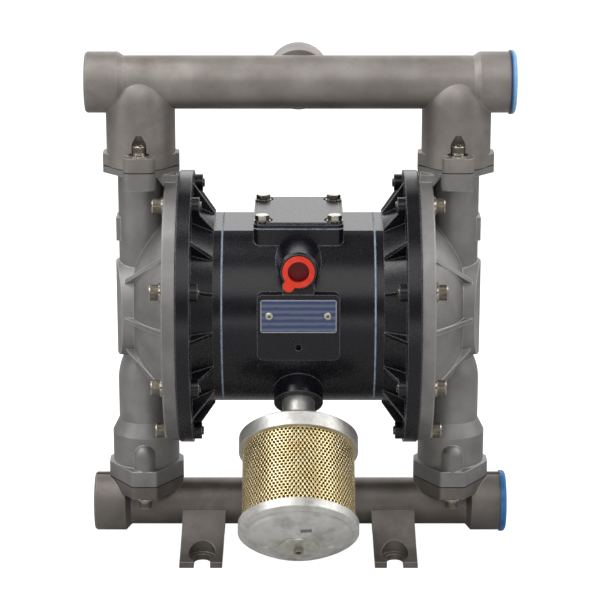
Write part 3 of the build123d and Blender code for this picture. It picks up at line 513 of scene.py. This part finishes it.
def screwRings(length, look):
    # (radius, height, shape) from the tip up over the head and down into the hexagon socket
    r, h, shank, pitch = look["headR"], look["headH"], look["shankR"], look["pitch"]
    edges, lead = screwEdges, screwEdges["socketLead"]
    tipIn, tipUp = edges["tip"]
    rings = [(shank - tipIn, -length, "round"), (shank, -length + tipUp, "round")]
    for i in range(int(look["threadTip"] / pitch)):
        low = -length + tipUp + i * pitch
        rings += [(shank - look["threadDepth"], low + pitch / 2, "round"), (shank, low + pitch, "round")]
    rings += [(shank, 0.0, "round")]
    if "lockT" in look:
        # the spring lock washer, with a groove between it and the head
        lock, top = look["lockR"], look["lockT"]
        rings += [(lock - inward, up, "round") for inward, up in edges["lockLow"]]
        rings += [(lock - inward, top - down, "round") for inward, down in edges["lockHigh"]]
        rings += [(r - edges["grooveIn"], top, "round")]
        rings = [(radius, height - top, shape) for radius, height, shape in rings]
    rings += [(r - inward, up, shape) for inward, up, shape in edges["headLow"]]
    rings += [(r - inward, h - down, shape) for inward, down, shape in edges["headHigh"]]
    rings += [(lead, h, "hex"), (0, h - lead, "hex"), (0, h - look["socket"], "hex")]
    return rings


def makeSocketScrews(node, places, look):
    # places: (bearing point, direction of the head, shank length), in millimetres
    mesh = bmesh.new()
    for spot, outward, length in places:
        turn = Vector((0, 0, 1)).rotation_difference(Vector(outward)).to_matrix()
        rings = screwRings(length, look)
        rows = []
        for radius, height, shape in rings:
            row = []
            for i in range(look["sides"]):
                angle = 2 * math.pi * i / look["sides"]
                r = radius
                if shape == "hex":
                    fromFlat = (angle + math.pi / 6) % (math.pi / 3) - math.pi / 6
                    r += look["flats"] / 2 / math.cos(fromFlat)
                elif shape == "knurl" and i % 2:
                    r -= look["knurl"]
                point = turn @ Vector((r * math.cos(angle), r * math.sin(angle), height)) + Vector(spot)
                row.append(mesh.verts.new(point * mm))
            rows.append(row)
        shapes = [shape for radius, height, shape in rings]
        for k, (a, b) in enumerate(zip(rows, rows[1:])):
            for i in range(look["sides"]):
                j = (i + 1) % look["sides"]
                face = mesh.faces.new((a[i], a[j], b[j], b[i]))
                face.material_index = 1 if shapes[k] == shapes[k + 1] == "knurl" else 0
        mesh.faces.new(list(reversed(rows[0])))
        mesh.faces.new(rows[-1])
    piece = addPiece(node + "_knurled", mesh, screwSteel, node)
    # the knurled band takes the darker steel, painted shade across the middle of each head
    piece.data.materials.append(paintedShadeSteel)


def placeChamberScrews():
    for side, label in ((-1, "left"), (1, "right")):
        low, high = [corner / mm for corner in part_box("chamber_screws_" + label)]
        outerX = max(abs(low.x), abs(high.x))
        face = outerX - chamberScrew["headH"]
        length = face - min(abs(low.x), abs(high.x))
        half = math.pi / chamberScrew["count"]
        circle = (high.y - chamberScrew["headR"]) / math.cos(half)
        places = []
        for i in range(chamberScrew["count"]):
            angle = half * (2 * i + 1)
            spot = (side * face, -circle * math.cos(angle), shaftHeight + circle * math.sin(angle))
            places.append((spot, (side, 0, 0), length))
        makeSocketScrews("chamber_screws_" + label, places, chamberScrew)


def placeJointScrews(node, up):
    low, high = [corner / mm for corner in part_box(node)]
    x = high.x - jointScrew["headR"]
    y = high.y - jointScrew["headR"]
    bearing = high.z - jointScrew["headH"] if up > 0 else low.z + jointScrew["headH"]
    length = bearing - low.z if up > 0 else high.z - bearing
    bearing += up * jointScrew["lockT"]  # the lock washer lifts the head off its flat washer
    places = [((sx * x, sy * y, bearing), (0, 0, up), length) for sx in (-1, 1) for sy in (-1, 1)]
    makeSocketScrews(node, places, jointScrew)


placeChamberScrews()
placeJointScrews("outlet_manifold_screws", 1)
placeJointScrews("inlet_manifold_screws", -1)
print("screws made")

# Rubber diaphragms: the hub is clamped on the shaft and the bead between the caps, and the
# convolution between them, which bends, is built in sectors that ride on no body.
diaphragm = {
    "hubX": 117.0, "rimX": 122.1, "thick": 3.2, "crownX": 129.75, "holeR": 8.3, "hubR": 56.0,
    "chamberR": 112.0, "beadR": 125.7, "fixedR": 97.0,
    "sectors": 6, "sectorSteps": 12, "arcSteps": 12, "turnSteps": 72, "weldM": 1e-7,
}


def arcThrough(first, middle, last, steps):
    # points (x, r) along the circle through three points
    a, b, c = Vector(first), Vector(middle), Vector(last)
    twice = 2 * ((b.x - a.x) * (c.y - a.y) - (b.y - a.y) * (c.x - a.x))
    ab, ac = b.length_squared - a.length_squared, c.length_squared - a.length_squared
    middleX = (ab * (c.y - a.y) - ac * (b.y - a.y)) / twice
    middleR = (ac * (b.x - a.x) - ab * (c.x - a.x)) / twice
    start = math.atan2(a.y - middleR, a.x - middleX)
    sweep = (math.atan2(c.y - middleR, c.x - middleX) - start + math.pi) % (2 * math.pi) - math.pi
    radius = math.hypot(a.x - middleX, a.y - middleR)
    points = []
    for i in range(steps + 1):
        angle = start + sweep * i / steps
        points.append((middleX + radius * math.cos(angle), middleR + radius * math.sin(angle)))
    return points


def turnAboutShaft(profile, side, start, end, steps):
    # a closed (x, r) profile swept about the shaft from one angle to another
    mesh = bmesh.new()
    rows = []
    for i in range(steps + 1):
        angle = start + (end - start) * i / steps
        row = []
        for x, r in profile:
            spot = Vector((side * x, r * math.cos(angle), shaftHeight + r * math.sin(angle)))
            row.append(mesh.verts.new(spot * mm))
        rows.append(row)
    for a, b in zip(rows, rows[1:]):
        for i in range(len(profile)):
            j = (i + 1) % len(profile)
            mesh.faces.new((a[i], a[j], b[j], b[i])).smooth = True
    bmesh.ops.remove_doubles(mesh, verts=mesh.verts, dist=diaphragm["weldM"])
    bmesh.ops.recalc_face_normals(mesh, faces=mesh.faces)
    return mesh


def makeDiaphragm(side, label):
    d = diaphragm
    hub = [(d["hubX"], d["holeR"]), (d["hubX"], d["hubR"])]
    hub += [(x + d["thick"], r) for x, r in reversed(hub)]
    bead = [(d["rimX"], d["chamberR"]), (d["rimX"], d["beadR"])]
    bead += [(x + d["thick"], r) for x, r in reversed(bead)]
    crownR = (d["hubR"] + d["chamberR"]) / 2
    crown = (d["crownX"] - d["thick"], crownR)
    web = arcThrough((d["hubX"], d["hubR"]), crown, (d["rimX"], d["chamberR"]), d["arcSteps"])
    web += [(x + d["thick"], r) for x, r in reversed(web)]
    node = "diaphragm_" + label
    full = turnAboutShaft(bead, side, 0, 2 * math.pi, d["turnSteps"])
    addPiece("diaphragmBead_" + label, full, rubber, node)
    full = turnAboutShaft(hub, side, 0, 2 * math.pi, d["turnSteps"])
    addPiece("diaphragmHub_" + label, full, rubber, node, "diaphragm_drive")
    half = math.pi / d["sectors"]
    for k in range(d["sectors"]):
        angle = 2 * half * k
        sector = turnAboutShaft(web, side, angle - half, angle + half, d["sectorSteps"])
        piece = addPiece(f"diaphragmWeb_{label}_{k + 1}", sector, rubber, node, None)
        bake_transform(piece)


makeDiaphragm(-1, "left")
makeDiaphragm(1, "right")
print("diaphragms made")

# Drive screws of the nameplate: low round heads with a hexagon recess that is coloured dark as painted shade.
rivet = {
    "headR": 4.3, "headH": 1.9, "recessR": 1.5, "recess": 1.2, "sides": 36,
    "shankR": 1.5, "shankLength": 5.0, "solidHeadH": 1.6, "rimH": 0.5,
    "crown": [(0.5, 0.6), (1.6, 0.95)],  # (in from the radius, share of the head's height)
    "recessTaper": 0.9, "recessFloorR": 0.3, "smoothRows": (3, 5), "recessRow": 6,
}


def makeRivets():
    low, high = [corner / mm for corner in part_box("nameplate_screws")]
    x, z = high.x - (high.z - low.z) / 2, (high.z + low.z) / 2
    face = low.y + rivet["solidHeadH"]
    r, h, shank, floor = rivet["headR"], rivet["headH"], rivet["shankR"], rivet["headH"] - rivet["recess"]
    profile = [(shank, -rivet["shankLength"]), (shank, 0.0), (r, 0.0), (r, rivet["rimH"])]
    profile += [(r - inward, h * share) for inward, share in rivet["crown"]]
    profile += [(rivet["recessR"], h), (rivet["recessR"] * rivet["recessTaper"], floor)]
    profile += [(rivet["recessFloorR"], floor)]
    firstSmooth, lastSmooth = rivet["smoothRows"]
    mesh = bmesh.new()
    for side in (-1, 1):
        rows = []
        for radius, height in profile:
            row = []
            for i in range(rivet["sides"]):
                angle = 2 * math.pi * i / rivet["sides"]
                across, up = radius * math.cos(angle), radius * math.sin(angle)
                row.append(mesh.verts.new(Vector((side * x + across, face - height, z + up)) * mm))
            rows.append(row)
        for k, (a, b) in enumerate(zip(rows, rows[1:])):
            for i in range(rivet["sides"]):
                j = (i + 1) % rivet["sides"]
                quad = mesh.faces.new((a[i], a[j], b[j], b[i]))
                quad.smooth = firstSmooth <= k <= lastSmooth
                # the recess walls and floor take the darker steel, painted shade
                quad.material_index = 1 if k >= rivet["recessRow"] else 0
        mesh.faces.new(list(reversed(rows[0])))
        mesh.faces.new(rows[-1]).material_index = 1
    piece = addPiece("driveScrews", mesh, zincPlate, "nameplate_screws")
    piece.data.materials.append(paintedShadeSteel)


makeRivets()
print("nameplate screws made")

# Pipe threads inside the ports: G 1 1/2 for the liquid and G 3/4 for the air, at their real
# pitches of 11 and 14 threads to the inch.
threads = {
    "port": {"radius": 23.9, "depth": 1.3, "pitch": 2.31, "length": 22.0},
    "air": {"radius": 13.2, "depth": 1.0, "pitch": 1.81, "length": 14.0},
    "sideX": 217.5, "outletZ": 242.0, "inletZ": -221.6, "airMouth": (0, -97.5, 68.0),
    "steps": 48, "start": 0.6, "crest": 0.45, "foot": 0.9,  # the last two as shares of the pitch
}


def makeThread(name, look, mouth, inward, material):
    # a helical ridge on the bore wall, built along +Z and then turned inwards
    steps = threads["steps"]
    mesh = bmesh.new()
    rows = []
    ridge = [(0.0, 0.0), (threads["crest"], look["depth"]), (threads["foot"], 0.0)]
    for i in range(int(look["length"] / look["pitch"]) * steps + 1):
        angle = 2 * math.pi * i / steps
        along = threads["start"] + look["pitch"] * i / steps
        row = []
        for shift, depth in ridge:
            r = look["radius"] - depth
            spot = Vector((math.cos(angle) * r, math.sin(angle) * r, along + shift * look["pitch"]))
            row.append(mesh.verts.new(spot * mm))
        rows.append(row)
    for a, b in zip(rows, rows[1:]):
        for j in range(len(ridge) - 1):
            mesh.faces.new((a[j], b[j], b[j + 1], a[j + 1]))
    turn = Vector((0, 0, 1)).rotation_difference(Vector(inward)).to_matrix().to_4x4()
    mesh.transform(Matrix.Translation((Vector(mouth) + Vector((0, 0, shaftHeight))) * mm) @ turn)
    addPiece(name, mesh, material)


for side, label in ((-1, "left"), (1, "right")):
    for row in ("outlet", "inlet"):
        mouth = (side * threads["sideX"], 0, threads[row + "Z"])
        makeThread(
            f"{row}Thread_{label}", threads["port"], mouth, (-side, 0, 0), castStainless
        )
makeThread("airThread", threads["air"], threads["airMouth"], (0, 1, 0), blackPaint)
print("threads made")

# Floor, light and camera.
studio = {
    "floor": "#b0b0b0", "floorRough": 0.8, "floorGlow": 0.97,
    "floorR": 14.0, "floorSides": 64, "floorZ": -0.0005,  # just under the feet, in metres
    "fill": 0.4, "mirrorFront": 0.1, "mirrorBack": 1.0, "mirrorSpan": (0.1, 0.75),
    "distance": 2635.5, "elevation": 16.81, "focal": 148.62, "sensor": 36, "shift": (0.0025, 0.0095),
    "aim": (0, 0, 0.3),  # where the lamps point, in metres
    "lamps": [
        # name, size in metres, watts, place
        ("leftStrip", (0.55, 1.9), 21, (-1.15, -0.25, 2.1)),
        ("rightStrip", (0.55, 1.9), 14, (1.55, -0.05, 1.65)),
        ("leftSoftbox", (0.5, 1.2), 5, (-1.8, -1.0, 0.8)),
        ("rightSoftbox", (0.5, 1.2), 3, (1.8, -1.0, 0.8)),
        ("rearSoftbox", (3.0, 0.9), 7, (0.0, 2.5, 1.15)),
        ("frontSoftbox", (2.2, 1.7), 18, (0.0, -1.9, 2.2)),
        ("lowSoftbox", (1.8, 0.35), 2.5, (0.0, -2.1, 0.2)),
    ],
}
white = (1.0, 1.0, 1.0, 1.0)


def makeFloor():
    material, tree, shader = startMaterial(
        "matPaleFloor", {"Base Color": linear(studio["floor"]), "Roughness": studio["floorRough"]}
    )[:3]
    rays = addNode(tree, "ShaderNodeLightPath")
    glow = addNode(tree, "ShaderNodeEmission", {"Color": white, "Strength": studio["floorGlow"]})
    both = addNode(
        tree, "ShaderNodeAddShader", None, {0: shader.outputs["BSDF"], 1: glow.outputs["Emission"]}
    )
    seen = addNode(
        tree, "ShaderNodeMixShader", None,
        {0: rays.outputs["Is Camera Ray"], 1: shader.outputs["BSDF"], 2: both.outputs["Shader"]},
    )
    tree.links.new(seen.outputs["Shader"], tree.nodes["Material Output"].inputs["Surface"])
    mesh = bmesh.new()
    bmesh.ops.create_circle(mesh, cap_ends=True, radius=studio["floorR"], segments=studio["floorSides"])
    data = bpy.data.meshes.new("floor")
    mesh.to_mesh(data)
    mesh.free()
    data.materials.append(material)
    floor = bpy.data.objects.new("floor", data)
    floor.location.z = studio["floorZ"]
    bpy.context.collection.objects.link(floor)


def makeWorld():
    # an even fill for matt surfaces, white for the eye, and for shiny ones the white backdrop
    # behind the object and a dim room in front of it
    world = bpy.data.worlds.new("studioWorld")
    bpy.context.scene.world = world
    world.use_nodes = True
    tree = world.node_tree
    fill = tree.nodes["Background"]
    fill.inputs["Color"].default_value = white
    fill.inputs["Strength"].default_value = studio["fill"]
    rays = addNode(tree, "ShaderNodeLightPath")
    coord = addNode(tree, "ShaderNodeTexCoord")
    split = addNode(tree, "ShaderNodeSeparateXYZ", None, {"Vector": coord.outputs["Generated"]})
    depth = addNode(
        tree, "ShaderNodeMapRange",
        {
            "From Min": studio["mirrorSpan"][0], "From Max": studio["mirrorSpan"][1],
            "To Min": studio["mirrorFront"], "To Max": studio["mirrorBack"],
        },
        {"Value": split.outputs["Y"]},
    )
    room = addNode(tree, "ShaderNodeBackground", {"Color": white}, {"Strength": depth.outputs["Result"]})
    seenWhite = addNode(tree, "ShaderNodeBackground", {"Color": white, "Strength": 1.0})
    glossy = addNode(
        tree, "ShaderNodeMixShader", None,
        {0: rays.outputs["Is Glossy Ray"], 1: fill.outputs[0], 2: room.outputs[0]},
    )
    straight = addNode(
        tree, "ShaderNodeMath", {"operation": "MAXIMUM"},
        {0: rays.outputs["Is Camera Ray"], 1: rays.outputs["Is Transmission Ray"]},
    )
    seen = addNode(
        tree, "ShaderNodeMixShader", None,
        {0: straight.outputs[0], 1: glossy.outputs[0], 2: seenWhite.outputs[0]},
    )
    tree.links.new(seen.outputs[0], tree.nodes["World Output"].inputs["Surface"])


def makeLamps():
    for name, size, power, place in studio["lamps"]:
        data = bpy.data.lights.new(name, "AREA")
        data.shape = "RECTANGLE"
        data.size, data.size_y = size
        data.energy = power
        lamp = bpy.data.objects.new(name, data)
        lamp.location = place
        lamp.rotation_euler = (Vector(studio["aim"]) - Vector(place)).to_track_quat("-Z", "Y").to_euler()
        bpy.context.collection.objects.link(lamp)


def makeCamera():
    data = bpy.data.cameras.new("camera")
    data.sensor_width = studio["sensor"]
    data.lens = studio["focal"]
    data.shift_x, data.shift_y = studio["shift"]
    camera = bpy.data.objects.new("camera", data)
    tilt = math.radians(studio["elevation"])
    reach = studio["distance"] * mm
    camera.location = (0, -reach * math.cos(tilt), shaftHeight * mm + reach * math.sin(tilt))
    camera.rotation_euler = (math.radians(90) - tilt, 0, 0)
    bpy.context.collection.objects.link(camera)
    bpy.context.scene.camera = camera


makeFloor()
makeWorld()
makeLamps()
makeCamera()
bpy.context.scene.view_settings.view_transform = "Standard"
print("studio made")
